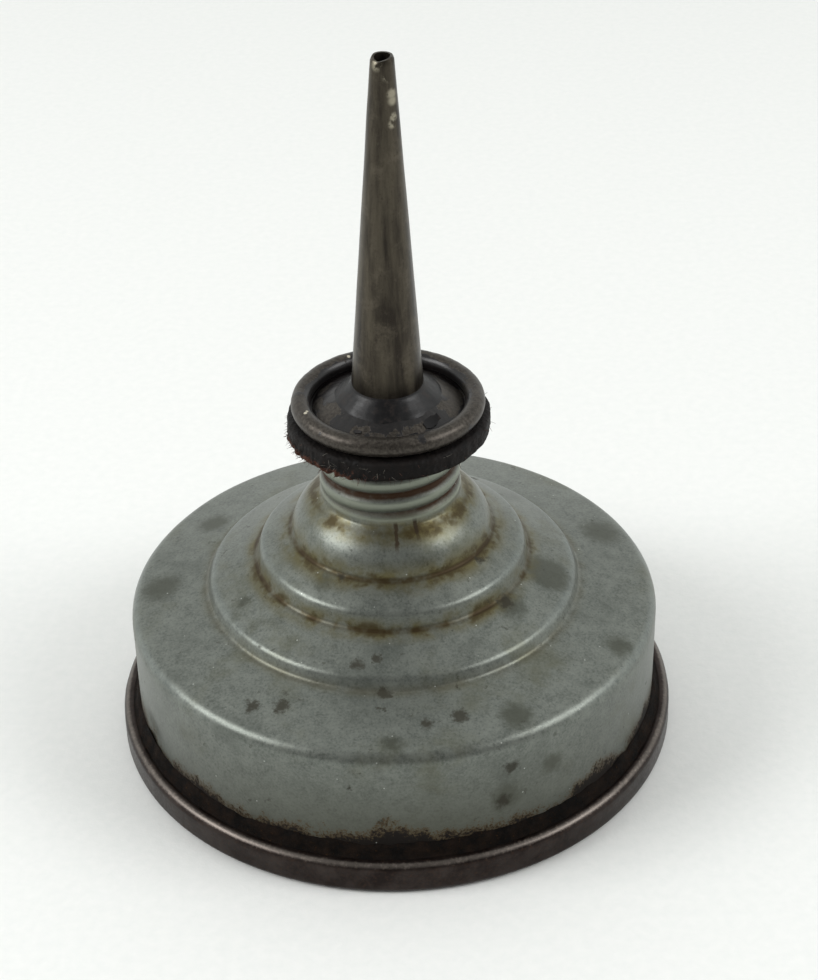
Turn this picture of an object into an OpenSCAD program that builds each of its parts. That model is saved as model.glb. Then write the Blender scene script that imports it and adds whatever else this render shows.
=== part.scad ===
// Handy oiler can: a stepped, bell-shaped sheet-steel body on a springy bottom,
// with a long tapered spout that screws into the rolled-thread neck over a leather washer.
// Millimetres, +Z up. The origin is the centre of the circle the can stands on.

/* [Seam and wall] */
// Width over the bottom seam
rim_d = 64; // [52:1:80]
// Height of the bottom seam
rim_h = 3.8; // [3.1:0.1:5]
// Height at which the wall turns in to the top
shoulder_h = 16.9; // [13:0.1:22]
// Sheet thickness of the body and of the bottom's seamed edge
sheet_t = 0.5; // [0.4:0.05:0.6]
// Space between the folded layers of the seam
seam_gap = 0.2; // [0.15:0.01:0.3]
// Space between the seam's outer fold and the filler that lies on it
filler_gap = 0.03; // [0.02:0.01:0.1]
// Outside rounding of the shoulder
shoulder_round = 1.65; // [1.2:0.05:2.5]

/* [Stepped top] */
// Width of the lower step at its foot
step_1_d = 42.2; // [36:0.1:48]
// Rise of the top from the shoulder to the lower step
rise_1_h = 1.85; // [1:0.05:3]
// Height of the lower step
step_1_h = 1.3; // [1:0.05:2]
// Width of the upper step at its foot
step_2_d = 30.6; // [26:0.1:35]
// Rise of the top between the two steps
rise_2_h = 2.35; // [1.5:0.05:4]
// Height of the upper step
step_2_h = 1.8; // [1.2:0.05:2.6]
// How far each step's face leans in
step_lean = 0.55; // [0.3:0.05:0.9]
// Outside rounding along the top of each step
step_round = 1.1; // [0.6:0.05:1.4]
// Outside rounding in the foot of each step
foot_round = 0.7; // [0.4:0.05:1]
// Width of the bell at its foot
bell_d = 22.4; // [19:0.1:26]
// Rise of the top from the upper step to the bell
rise_3_h = 1.85; // [1:0.05:3]
// Height of the bell's side
bell_side_h = 2.35; // [1.8:0.05:3.2]
// How far the bell's side leans in
bell_lean = 0.45; // [0.2:0.05:0.8]
// Height from the bell's side to the neck
bell_top_h = 2.4; // [1.6:0.05:3.4]
// Outside rounding of the bell
bell_round = 5.5; // [2:0.1:7]

/* [Neck thread] */
// Neck width over the thread ridges
neck_d = 15.6; // [13:0.1:18.8]
// Plain length of neck below the thread
neck_plain_h = 0.5; // [0.4:0.1:1]
// Length of the threaded neck
neck_thread_h = 7.1; // [5.9:0.1:8.6]
// Height risen in one turn of the thread
thread_pitch = 2.5; // [2:0.05:3]
// Depth of the rolled groove
thread_depth = 0.5; // [0.4:0.02:0.6]
// Radial space between the neck's thread and the ferrule's thread
thread_gap = 0.2; // [0.12:0.01:0.3]
// How much the rolled sheet is thinned on each side where a thread meets plain tube
thread_thin = 0.03; // [0.02:0.005:0.05]
// Turn of the thread about the axis, in degrees
thread_turn = 184; // [0:1:359]

/* [Bottom] */
// Thickness of the springy bottom
spring_t = 0.35; // [0.25:0.05:0.45]
// Height of the shelf inside the seam that the bottom springs from
shelf_h = 4.5; // [4:0.1:5.4]
// Width of that shelf
shelf_w = 1.3; // [1:0.1:2]
// How far the middle of the bottom bulges below its edge
bulge = 1.9; // [1:0.1:2.2]
// Width of the flat thumb pad
pad_d = 17; // [12:0.5:20]
// Space between the shelf and the moving bottom
bottom_gap = 0.2; // [0.1:0.05:0.4]

/* [Washer and collar] */
// Leather washer width
washer_d = 22; // [19:0.1:26]
// Leather washer thickness
washer_t = 2.4; // [2:0.1:3]
// Space between the washer and the faces it is squeezed by
washer_gap = 0.02; // [0.01:0.01:0.05]
// Space between the washer's hole and the ferrule
washer_hole_gap = 0.15; // [0.1:0.05:0.5]
// Collar width over its rolled edge
collar_d = 21; // [18.5:0.1:25]
// Thickness of the rolled edge
curl_d = 2.1; // [1.8:0.05:2.6]
// Sheet thickness of the collar
collar_t = 0.5; // [0.4:0.05:0.6]
// Width of the raised middle of the collar at its foot
dish_d = 16.2; // [14.5:0.1:16.4]
// Rise of the collar's middle from its foot to the spout
dish_rise = 2.2; // [1:0.1:2.6]

/* [Spout] */
// Length of spout above the collar's floor
spout_len = 39.83; // [32:0.01:48]
// Spout width where it meets the collar
spout_base_d = 8.2; // [7:0.1:9]
// Spout width at the tip
spout_tip_d = 2.36; // [2:0.02:2.9]
// Hole in the tip
outlet_d = 1.64; // [1.3:0.02:1.7]
// Straight length of the hole in the tip
outlet_len = 4; // [3:0.5:6]
// Sheet thickness of the spout
spout_t = 0.35; // [0.3:0.05:0.45]
// Length of spout below the collar
spout_tail = 1.4; // [1:0.1:2]
// Sheet thickness of the threaded ferrule
ferrule_t = 0.45; // [0.35:0.05:0.55]
// Length of the ferrule inside the neck
ferrule_h = 4.7; // [4:0.1:5.6]
// Space between the spout and the holes it passes through
spout_gap = 0.05; // [0.03:0.01:0.1]
// Space between the ferrule's top and the collar above it
web_gap = 0.02; // [0.01:0.01:0.05]
// Width of the solder mound on the collar
solder_d = 11.6; // [10.6:0.1:13]
// Height of the solder mound up the spout
solder_h = 0.75; // [0.5:0.05:1.4]
// Depth of the solder fillet under the ferrule's top
fillet_h = 0.7; // [0.4:0.05:1]

/* [Hidden] */
$fn = 96;
arc_steps = 6;
thread_sides = 48;
rows_per_turn = 10;

rim_r = rim_d / 2;
// The wall stands inside the seam by three layers of sheet and their spaces.
layer = sheet_t + seam_gap;
wall_r = rim_r - 3 * layer;
// Inside rounding of a fold around one layer of sheet.
fold_r = sheet_t / 2 + seam_gap;
hook_low_z = sheet_t + seam_gap + fold_r + sheet_t;
hook_high_z = rim_h - sheet_t - fold_r;
chuck_r = wall_r - layer;
shelf_r = chuck_r - shelf_w;

neck_r = neck_d / 2;
step_1_z = shoulder_h + rise_1_h;
step_2_z = step_1_z + step_1_h + rise_2_h;
bell_z = step_2_z + step_2_h + rise_3_h;
neck_base_z = bell_z + bell_side_h + bell_top_h;
neck_low_z = neck_base_z + neck_plain_h;
neck_top_z = neck_low_z + neck_thread_h;
washer_z = neck_top_z + washer_gap;
collar_z = washer_z + washer_t + washer_gap;
curl_r = curl_d / 2;
curl_mid_r = collar_d / 2 - curl_r;
floor_z = collar_z + collar_t;

ferrule_r = neck_r - sheet_t - thread_gap;
ferrule_core_r = ferrule_r - thread_depth;
ferrule_low_z = neck_top_z - ferrule_h;
washer_hole_r = ferrule_r + washer_hole_gap;

spout_r = spout_base_d / 2;
tip_r = spout_tip_d / 2;
outlet_r = outlet_d / 2;
spout_top_z = floor_z + spout_len;
spout_low_z = collar_z - spout_tail;

// Spout radius at height z.
function spout_at(z) = spout_r + (tip_r - spout_r) * (z - floor_z) / (spout_top_z - floor_z);

// The collar's middle is a cone; its underside starts at the dish foot and ends round the spout.
dish_r = dish_d / 2;
hole_r = spout_at(collar_z + dish_rise) + spout_gap;
dish_tilt = atan2(dish_rise, dish_r - hole_r);
// Height of that underside at radius r, and of the faces that lie a sheet above or below it.
function dish_at(r) = collar_z + (dish_r - r) * tan(dish_tilt);
function dish_above(r) = dish_at(r) + collar_t / cos(dish_tilt);
function web_below(r) = dish_at(r) - (web_gap + ferrule_t) / cos(dish_tilt);

function unit(v) = v / norm(v);
function left_of(v) = [-v[1], v[0]];
function polar(mid, r, a) = mid + r * [cos(a), sin(a)];
function arc(mid, r, from, to, n = arc_steps) = [for (i = [0:n]) polar(mid, r, from + (to - from) * i / n)];

// Corner b between a and c, rounded to radius r.
function round_corner(a, b, c, r) =
  let (
    ua = unit(a - b),
    ub = unit(c - b),
    half = acos(ua * ub) / 2,
    mid = b + unit(ua + ub) * r / sin(half),
    s = b + ua * r / tan(half) - mid,
    e = b + ub * r / tan(half) - mid,
    from = atan2(s[1], s[0]),
    turn = (atan2(e[1], e[0]) - from + 540) % 360 - 180
  )
  arc(mid, r, from, from + turn);

// Path through corners [[r, z], radius, room], with each corner rounded. A rounding
// takes at most its room, a share of the shorter side beside it.
function rounded_path(c) = [
  for (i = [0:len(c) - 1])
    each (
      c[i][1] == 0 ? [c[i][0]] :
      let (
        b = c[i][0],
        u = c[i - 1][0] - b,
        v = c[i + 1][0] - b,
        room = is_undef(c[i][2]) ? 0.5 : c[i][2],
        most = room * min(norm(u), norm(v)) * tan(acos(unit(u) * unit(v)) / 2)
      )
      round_corner(c[i - 1][0], b, c[i + 1][0], min(c[i][1], most))
    )
];

// The same path moved sideways to its left by d.
function beside(p, d) = [
  for (i = [0:len(p) - 1])
    let (
      a = i == 0 ? undef : unit(p[i] - p[i - 1]),
      b = i == len(p) - 1 ? undef : unit(p[i + 1] - p[i]),
      along = i == 0 ? b : i == len(p) - 1 ? a : unit(a + b),
      other = i == 0 ? b : a
    )
    p[i] + left_of(along) * d / (along * other)
];

function backwards(p) = [for (i = [len(p) - 1:-1:0]) p[i]];

// Sheet of thickness t lying along the left side of a path, turned about the axis.
module turned_sheet(path, t) {
  rotate_extrude()
    polygon(concat(path, backwards(beside(path, t))));
}

module turned(points) {
  rotate_extrude()
    polygon(points);
}

function smooth(x) = let (s = min(1, max(0, x))) s * s * (3 - 2 * s);

// Radius of the rolled thread: r on the ridges, full depth where cut is 1.
function thread_at(r, a, z, cut) =
  r - cut * thread_depth * (1 - cos(a - 360 * z / thread_pitch + thread_turn)) / 2;

// Tube rolled to the thread from low to high. The groove starts shallow over
// the length start, and over the length end the tube closes to its core.
module rolled_thread(r, t, low, high, start, end) {
  rows = ceil((high - low) / thread_pitch * rows_per_turn);
  n = thread_sides;
  function level(j) = low + (high - low) * j / rows;
  function at(a, z) =
    let (
      cut = start == 0 ? 1 : smooth((z - low) / start),
      close = end == 0 ? 0 : smooth((z - high + end) / end)
    )
    thread_at(r, a, z, cut) * (1 - close) + (r - thread_depth) * close;
  function ring(j, inset) = [
    for (i = [0:n - 1])
      let (a = 360 * i / n, z = level(j), q = at(a, z) - inset)
      [q * cos(a), q * sin(a), z]
  ];
  points = concat(
    [for (j = [0:rows]) each ring(j, 0)],
    [for (j = [rows:-1:0]) each ring(j, t)]
  );
  loops = 2 * rows + 2;
  faces = [
    for (j = [0:loops - 1], i = [0:n - 1])
      let (
        a = j * n + i,
        b = j * n + (i + 1) % n,
        c = ((j + 1) % loops) * n + i,
        d = ((j + 1) % loops) * n + (i + 1) % n
      )
      each [[a, c, b], [b, c, d]]
  ];
  polyhedron(points, faces, convexity = 6);
}

// Drawn sheet body: folded foot, wall, two pressed steps, bell and threaded neck.
module body_shell() {
  hook_r = wall_r + 2 * fold_r;
  outside = rounded_path([
    [[hook_r, hook_high_z + sheet_t / 5], 0],
    [[hook_r, hook_low_z - fold_r], fold_r, 0.499],
    [[wall_r, hook_low_z - fold_r], fold_r, 0.499],
    [[wall_r, shoulder_h], shoulder_round],
    [[step_1_d / 2, step_1_z], foot_round],
    [[step_1_d / 2 - step_lean, step_1_z + step_1_h], step_round],
    [[step_2_d / 2, step_2_z], foot_round],
    [[step_2_d / 2 - step_lean, step_2_z + step_2_h], step_round],
    [[bell_d / 2, bell_z], foot_round, 0.15],
    [[bell_d / 2 - bell_lean, bell_z + bell_side_h], bell_round, 0.84],
    [[neck_r, neck_base_z], foot_round],
    [[neck_r, neck_low_z], 0]
  ]);
  color("#78807e")
    union() {
      turned_sheet(outside, sheet_t);
      rolled_thread(neck_r - thread_thin, sheet_t - 2 * thread_thin,
        neck_low_z, neck_top_z, thread_pitch / 2, 0);
    }
}

// Seamed edge of the bottom: hook, seam wall, standing ring, chuck wall and shelf.
module bottom_rim() {
  hook_r = wall_r + 2 * fold_r - seam_gap;
  path = rounded_path([
    [[hook_r, hook_low_z - fold_r / 4], 0],
    [[hook_r, hook_high_z + fold_r], fold_r, 0.499],
    [[rim_r - sheet_t, hook_high_z + fold_r], fold_r, 0.499],
    [[rim_r - sheet_t, sheet_t], 0.3],
    [[chuck_r, sheet_t], 0.3],
    [[chuck_r, shelf_h], sheet_t + 0.2],
    [[shelf_r, shelf_h], 0]
  ]);
  color("#3a3430")
    turned_sheet(path, sheet_t);
}

// Springy bottom with a thumb pad, domed towards the table at rest.
module bottom_diaphragm() {
  edge_r = shelf_r - bottom_gap;
  edge_z = shelf_h - sheet_t;
  under = rounded_path([
    [[0, edge_z - bulge], 0],
    [[pad_d / 2, edge_z - bulge], 3],
    [[edge_r - 3, edge_z], 4],
    [[edge_r, edge_z], 0]
  ]);
  color("#4a4642")
    turned_sheet(under, spring_t);
}

// Solder and sealer filling the crease between the wall and the seam.
module seam_solder() {
  crest = [rim_r - sheet_t - fold_r, hook_high_z];
  bed = arc(crest, fold_r + sheet_t + filler_gap, 165, 110);
  color("#2e2823")
    turned(concat([[wall_r, bed[0][1]]], bed, [[wall_r + 0.25, rim_h + 0.35], [wall_r, rim_h + 0.75]]));
}

// Leather washer squeezed between the neck's mouth and the collar.
module leather_washer() {
  r = washer_d / 2;
  edge = washer_t / 4;
  color("#1d1a19")
    turned(concat(
      [[washer_hole_r, washer_z]],
      arc([r - edge, washer_z + edge], edge, -90, 0),
      arc([r - edge, washer_z + washer_t - edge], edge, 0, 90),
      [[washer_hole_r, washer_z + washer_t]]
    ));
}

// Collar with a conical middle and an edge that curls up, over and back in.
module spout_collar() {
  mid = [curl_mid_r, collar_z + curl_r];
  path = concat([[hole_r, dish_at(hole_r)], [dish_r, collar_z]], arc(mid, curl_r, -90, 204, 24));
  color("#38332f")
    turned_sheet(path, collar_t);
}

// Tapered spout tube with a short straight outlet.
module spout_tube() {
  color("#4b443d")
    turned([
      [spout_at(spout_low_z) - spout_t, spout_low_z],
      [spout_at(spout_low_z), spout_low_z],
      [spout_at(spout_top_z - 0.3), spout_top_z - 0.3],
      [tip_r - 0.12, spout_top_z],
      [outlet_r, spout_top_z],
      [outlet_r, spout_top_z - outlet_len],
      [spout_at(spout_top_z - 3 * outlet_len) - spout_t, spout_top_z - 3 * outlet_len]
    ]);
}

// Threaded ferrule: rolled thread, plain throat and a conical top under the collar.
module spout_ferrule() {
  drop = web_gap / cos(dish_tilt);
  end_r = hole_r + spout_gap + ferrule_t * sin(dish_tilt);
  web = [
    [[ferrule_core_r, neck_top_z], 0],
    [[ferrule_core_r, dish_at(ferrule_core_r) - drop], 0.6],
    [[end_r, dish_at(end_r) - drop], 0]
  ];
  color("#6b655c")
    union() {
      rolled_thread(ferrule_r - thread_thin, ferrule_t - 2 * thread_thin,
        ferrule_low_z, neck_top_z, 0, thread_pitch / 3);
      turned_sheet(rounded_path(web), ferrule_t);
    }
}

// Solder mound that holds the spout to the collar.
module spout_solder() {
  foot_r = solder_d / 2;
  base_z = dish_above(hole_r);
  top_z = base_z + solder_h;
  r = spout_at(base_z);
  // Share of the way from the spout out to the foot, and of the way up from the cone.
  function mound(out, up) =
    let (q = spout_at(top_z) + (foot_r - spout_at(top_z)) * out)
    [q, dish_above(q) + solder_h * up];
  color("#1b1a1c")
    turned([
      [r, dish_above(r)],
      mound(1, 0),
      mound(0.8, 0.12),
      mound(0.55, 0.25),
      mound(0.3, 0.5),
      mound(0.12, 0.75),
      [spout_at(top_z), top_z]
    ]);
}

// Solder fillet between the spout and the underside of the ferrule's top.
module ferrule_solder() {
  top = web_below(hole_r);
  low = top - fillet_h;
  far = spout_at(low) + 0.8;
  color("#8a8780")
    turned([
      [spout_at(top), top],
      [spout_at(low), low],
      [spout_at(low) + 0.25, low + 0.1],
      [far, web_below(far)]
    ]);
}

body_shell();
bottom_rim();
bottom_diaphragm();
seam_solder();
leather_washer();
spout_collar();
spout_tube();
spout_ferrule();
spout_solder();
ferrule_solder();
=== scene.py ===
"""Looks for a small handy oiler can: stepped sheet-steel body, springy bottom, screw-in spout."""

import math
import random
from functools import partial

import bmesh
import bpy
from mathutils import Matrix, Vector, noise


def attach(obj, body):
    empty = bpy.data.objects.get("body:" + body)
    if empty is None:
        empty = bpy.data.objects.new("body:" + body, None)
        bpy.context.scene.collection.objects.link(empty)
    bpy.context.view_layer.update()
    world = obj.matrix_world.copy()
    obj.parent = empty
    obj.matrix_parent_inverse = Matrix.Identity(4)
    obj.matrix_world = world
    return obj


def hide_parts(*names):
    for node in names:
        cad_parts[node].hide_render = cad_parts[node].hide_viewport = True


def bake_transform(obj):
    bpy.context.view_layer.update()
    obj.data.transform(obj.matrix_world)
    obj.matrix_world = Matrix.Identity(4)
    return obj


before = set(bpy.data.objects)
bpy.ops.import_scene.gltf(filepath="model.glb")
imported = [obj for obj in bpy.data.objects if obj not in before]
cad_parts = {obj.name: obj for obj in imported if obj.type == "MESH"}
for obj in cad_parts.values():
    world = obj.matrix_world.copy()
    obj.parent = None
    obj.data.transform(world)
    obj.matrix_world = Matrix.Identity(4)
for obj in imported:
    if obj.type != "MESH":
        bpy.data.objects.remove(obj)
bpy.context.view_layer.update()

MM = 0.001
TURN = 2 * math.pi

# ---------------------------------------------------------------- sizes of the real can, mm
RIM_R, RIM_H = 32.0, 3.8
SHEET, SEAM_GAP = 0.5, 0.2
LAYER = SHEET + SEAM_GAP
WALL_R = RIM_R - 3 * LAYER
FOLD_R = SHEET / 2 + SEAM_GAP
HOOK_LOW = SHEET + SEAM_GAP + FOLD_R + SHEET
HOOK_HIGH = RIM_H - SHEET - FOLD_R
CHUCK_R = WALL_R - LAYER
SHELF_R, SHELF_H = CHUCK_R - 1.3, 4.5

SHOULDER_Z = 16.9
STEP_1_R, STEP_1_Z, STEP_1_H = 21.1, 18.75, 1.3
STEP_2_R, STEP_2_Z, STEP_2_H = 15.3, 22.4, 1.8
STEP_LEAN = 0.55
BELL_R, BELL_Z = 11.2, 26.05
BELL_SIDE_R, BELL_SIDE_Z = 10.75, 28.4
NECK_R, NECK_BASE_Z, NECK_LOW_Z, NECK_TOP_Z = 7.8, 30.8, 31.3, 38.4
PITCH, GROOVE, THREAD_START = 2.5, 0.5, math.radians(184)
GROOVE_NARROW = 1.7

WASHER_Z, WASHER_T, WASHER_R, WASHER_HOLE_R = 38.42, 2.4, 11.0, 7.25
COLLAR_Z, COLLAR_T, COLLAR_R, CURL_R = 40.84, 0.5, 10.5, 1.05
FLOOR_Z = COLLAR_Z + COLLAR_T
DISH_R, DISH_RISE = 8.1, 2.2
FERRULE_R, FERRULE_T, FERRULE_LOW_Z = 7.1, 0.45, 33.7
SPOUT_R, TIP_R, OUTLET_R, SPOUT_T = 4.1, 1.18, 0.82, 0.35
SPOUT_LOW_Z, SPOUT_TOP_Z = COLLAR_Z - 1.4, 81.17
SPOUT_LEAN = 0.42
SPOUT_GAP, WEB_GAP, FILLER_GAP = 0.05, 0.02, 0.03
OUTLET_LEN, MOUND_R, MOUND_H = 4, 5.8, 0.75
KNOCK_ANGLE, KNOCK_Z, KNOCK_DEPTH = 203.5, 6.6, 0.42
TORN_ANGLE = 222


# ---------------------------------------------------------------- camera
lens = bpy.data.cameras.new("camera")
lens.lens, lens.sensor_width = 77.02, 36
camera = bpy.data.objects.new("camera", lens)
bpy.context.scene.collection.objects.link(camera)
tilt, roll = math.radians(33.608), -0.0242
ahead = Vector((0, math.cos(tilt), -math.sin(tilt)))
side, up = Vector((1, 0, 0)), Vector((0, math.sin(tilt), math.cos(tilt)))
right = side * math.cos(roll) + up * math.sin(roll)
above = up * math.cos(roll) - side * math.sin(roll)
camera.matrix_world = Matrix.Translation((0.00203, -0.19374, 0.15897)) @ Matrix(
    (right, above, -ahead)
).transposed().to_4x4()
bpy.context.scene.camera = camera


# ---------------------------------------------------------------- outlines
def rounded(corners, steps=8):
    """Path through corners (r, z, radius, room); a rounding takes at most its room beside it."""
    path = []
    for i, corner_varnish_and_shade in enumerate(corners):
        here = Vector(corner_varnish_and_shade[:2])
        radius = corner_varnish_and_shade[2] if len(corner_varnish_and_shade) > 2 else 0
        if not radius:
            path.append(tuple(here))
            continue
        to_last = Vector(corners[i - 1][:2]) - here
        to_next = Vector(corners[i + 1][:2]) - here
        half = to_last.angle(to_next) / 2
        room = corner_varnish_and_shade[3] if len(corner_varnish_and_shade) > 3 else 0.5
        radius = min(radius, room * min(to_last.length, to_next.length) * math.tan(half))
        last, next_ = to_last.normalized(), to_next.normalized()
        middle = here + (last + next_).normalized() * radius / math.sin(half)
        start = here + last * radius / math.tan(half) - middle
        swing = start.angle_signed(here + next_ * radius / math.tan(half) - middle)
        for k in range(steps + 1):
            # angle_signed is clockwise in Blender, hence the minus sign
            c, s = math.cos(-swing * k / steps), math.sin(-swing * k / steps)
            path.append((middle.x + start.x * c - start.y * s, middle.y + start.x * s + start.y * c))
    return path


def arc(r, z, radius, start, end, steps):
    """Points on a circle about (r, z), from one angle to another in degrees."""
    angles = [math.radians(start + (end - start) * k / steps) for k in range(steps + 1)]
    return [(r + radius * math.cos(a), z + radius * math.sin(a)) for a in angles]


def beside(path, distance):
    """The path moved to its left by a distance, as the other face of a bent sheet."""
    moved = []
    for i, point in enumerate(path):
        here = Vector(point)
        last = (here - Vector(path[i - 1])).normalized() if i else None
        next_ = (Vector(path[i + 1]) - here).normalized() if i < len(path) - 1 else None
        along = (last + next_).normalized() if last and next_ else (last or next_)
        other = next_ or last
        left = Vector((-along.y, along.x))
        moved.append(tuple(here + left * distance / along.dot(other)))
    return moved


def refine(path, longest):
    """The path with every side cut into pieces no longer than given, by the height it is at."""
    fine = [path[0]]
    for a, b in zip(path[:-1], path[1:]):
        most = longest((a[1] + b[1]) / 2) if callable(longest) else longest
        pieces = max(1, math.ceil(math.dist(a, b) / most))
        fine += [
            (a[0] + (b[0] - a[0]) * k / pieces, a[1] + (b[1] - a[1]) * k / pieces)
            for k in range(1, pieces + 1)
        ]
    return fine


def sheet_section(path, thickness, longest):
    """Closed outline of a bent sheet lying on the left of its path."""
    fine = refine(path, longest)
    return fine + beside(fine, thickness)[::-1]


def smooth(x):
    s = min(1.0, max(0.0, x))
    return s * s * (3 - 2 * s)


# ---------------------------------------------------------------- meshes
def finish_mesh(name, bm, material, body, nodes=(), sharp=38):
    """Turns a bmesh in millimetres into a smooth-shaded piece that rides on a body."""
    bmesh.ops.scale(bm, vec=(MM,) * 3, verts=bm.verts)
    bmesh.ops.recalc_face_normals(bm, faces=bm.faces)
    for face in bm.faces:
        face.smooth = True
    for edge in bm.edges:
        if len(edge.link_faces) == 2 and edge.calc_face_angle() > math.radians(sharp):
            edge.smooth = False
    mesh = bpy.data.meshes.new(name)
    bm.to_mesh(mesh)
    bm.free()
    piece = bpy.data.objects.new(name, mesh)
    bpy.context.scene.collection.objects.link(piece)
    mesh.materials.append(material)
    if body:
        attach(piece, body)
    if nodes:
        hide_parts(*nodes)
    return piece


def round_at(a, r, z):
    return (r * math.cos(a), r * math.sin(a), z)


def turn_section(bm, section, sides, shape=round_at, closed=True):
    """Adds a surface of revolution. shape(angle, r, z) gives each point its final (x, y, z)."""
    rings = []
    for r, z in section:
        angles = [TURN * k / sides for k in range(sides)] if r > 1e-6 else [0]
        rings.append([bm.verts.new(shape(a, r, z)) for a in angles])
    for low, high in zip(rings, rings[1:] + (rings[:1] if closed else [])):
        for k in range(sides):
            n = (k + 1) % sides
            if len(low) == 1 and len(high) == 1:
                continue
            if len(low) == 1:
                bm.faces.new((low[0], high[n], high[k]))
            elif len(high) == 1:
                bm.faces.new((low[k], low[n], high[0]))
            else:
                bm.faces.new((low[k], low[n], high[n], high[k]))


def bump_at(a, z, size):
    """Smooth noise from -1 to 1 on a drum, with features of about the given size in mm at r 30."""
    k = 30 / size
    return noise.noise(Vector((math.cos(a) * k, math.sin(a) * k, z / size)))


def turned_away(a, middle):
    """Degrees between an angle in radians and a bearing in degrees."""
    return abs((math.degrees(a) - middle + 180) % 360 - 180)


def hair(bm, start, way, length, thick, droop, draw):
    """A tapering, bent hair from a point; draw is the random source."""
    way = Vector(way).normalized()
    sideways = way.orthogonal().normalized()
    third = way.cross(sideways)
    bend = (sideways * draw.uniform(-1, 1) + third * draw.uniform(-1, 1)) * length * 0.35
    last = None
    for k in range(5):
        t = k / 4
        middle = Vector(start) + way * length * t + bend * t * t - Vector((0, 0, droop * t * t))
        size = thick * (1 - 0.75 * t)
        ring = [
            bm.verts.new(middle + (sideways * math.cos(c) + third * math.sin(c)) * size)
            for c in (0, TURN / 4, TURN / 2, 3 * TURN / 4)
        ]
        if last:
            for i in range(4):
                bm.faces.new((last[i], last[(i + 1) % 4], ring[(i + 1) % 4], ring[i]))
        else:
            bm.faces.new(ring)
        last = ring
    bm.faces.new(last[::-1])


def chip(bm, angle, r, length, width, lift, draw):
    """A flake of varnish lying on the collar's cone, one end lifted; mm, and the angle in degrees."""
    a = math.radians(angle)
    out, along = Vector((math.cos(a), math.sin(a), 0)), Vector((-math.sin(a), math.cos(a), 0))
    rows = []
    for i in range(7):
        t = i / 6
        half = width / 2 * (0.55 + 0.45 * math.sin(math.pi * t)) * draw.uniform(0.8, 1.2)
        row = []
        for j in range(4):
            u = j / 3 * 2 - 1
            point = out * (r + u * half) + along * ((t - 0.5) * length)
            z = dish_at(math.hypot(point.x, point.y), COLLAR_T) + 0.03
            row.append(point + Vector((0, 0, z + lift * t * t + 0.03 * draw.random())))
        rows.append(row)
    skin = 0.05
    low = [[bm.verts.new(q) for q in row] for row in rows]
    high = [[bm.verts.new(q + Vector((0, 0, skin))) for q in row] for row in rows]
    for i in range(6):
        for j in range(3):
            bm.faces.new((low[i][j], low[i][j + 1], low[i + 1][j + 1], low[i + 1][j]))
            bm.faces.new((high[i][j], high[i + 1][j], high[i + 1][j + 1], high[i][j + 1]))
    edge = [(0, j) for j in range(4)] + [(i, 3) for i in range(1, 7)]
    edge += [(6, j) for j in (2, 1, 0)] + [(i, 0) for i in range(5, 0, -1)]
    for (i, j), (k, l) in zip(edge, edge[1:] + edge[:1]):
        bm.faces.new((low[i][j], low[k][l], high[k][l], high[i][j]))


def thread_cut(a, z, start=NECK_LOW_Z, fade=PITCH / 2):
    """Depth of the rolled groove at an angle and height; it starts shallow above start."""
    depth = GROOVE * ((1 - math.cos(a - TURN * z / PITCH + THREAD_START)) / 2) ** GROOVE_NARROW
    return depth * (smooth((z - start) / fade) if fade else 1)


# ---------------------------------------------------------------- materials
SOFT = {"interpolation_type": "SMOOTHSTEP"}


def linear(hex_colour):
    """sRGB hex to the linear colour that the shader wants."""
    values = [int(hex_colour[i : i + 2], 16) / 255 for i in (1, 3, 5)]
    return tuple(v / 12.92 if v <= 0.04045 else ((v + 0.055) / 1.055) ** 2.4 for v in values) + (1.0,)


def put(tree, kind, inputs=None, out=0, **settings):
    """Adds a shader node, sets it, links or fills its inputs, and returns one of its outputs."""
    node = tree.nodes.new("ShaderNode" + kind)
    for name, value in settings.items():
        setattr(node, name, value)
    for key, value in (inputs or {}).items():
        socket = node.inputs[key]
        if isinstance(value, bpy.types.NodeSocket):
            tree.links.new(value, socket)
        else:
            socket.default_value = value
    return node.outputs[out]


def new_material(name):
    material = bpy.data.materials.new(name)
    material.use_nodes = True
    material.node_tree.nodes.clear()
    return material, material.node_tree


def surface(tree, colour, roughness, metallic, bump=None, **sockets):
    """The Principled shader and its output. Uniform values are set straight on its sockets."""
    inputs = {"Base Color": colour, "Roughness": roughness, "Metallic": metallic}
    inputs.update({name.replace("_", " "): value for name, value in sockets.items()})
    if bump:
        inputs["Normal"] = bump
    output = tree.nodes.new("ShaderNodeOutputMaterial")
    tree.links.new(put(tree, "BsdfPrincipled", inputs), output.inputs["Surface"])


def millimetres(tree):
    """Object coordinates in millimetres."""
    place = put(tree, "TexCoord", out=3)
    return put(tree, "VectorMath", {0: place, "Scale": 1 / MM}, operation="SCALE")


def from_axis(tree, place):
    """Distance from the can's axis."""
    flat = put(tree, "VectorMath", {0: place, 1: (1.0, 1.0, 0.0)}, operation="MULTIPLY")
    return put(tree, "VectorMath", {0: flat}, 1, operation="LENGTH")


def from_circle(tree, r, z, circle_r, circle_z):
    """Distance from a level circle round the axis, of a point at r from the axis and height z."""
    across = put(tree, "Math", {0: r, 1: circle_r}, operation="SUBTRACT")
    up = put(tree, "Math", {0: z, 1: circle_z}, operation="SUBTRACT")
    apart = put(tree, "CombineXYZ", {0: across, 1: up})
    return put(tree, "VectorMath", {0: apart}, 1, operation="LENGTH")


def tinted(tree, colour, by, start, end, most, hex_colour, **settings):
    """The colour mixed towards another: none where by is at start, most of it where by is at end."""
    share = put(tree, "MapRange", {0: by, 1: start, 2: end, 3: 0.0, 4: most}, **settings)
    return put(tree, "Mix", {0: share, 6: colour, 7: linear(hex_colour)}, 2, data_type="RGBA")


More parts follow.
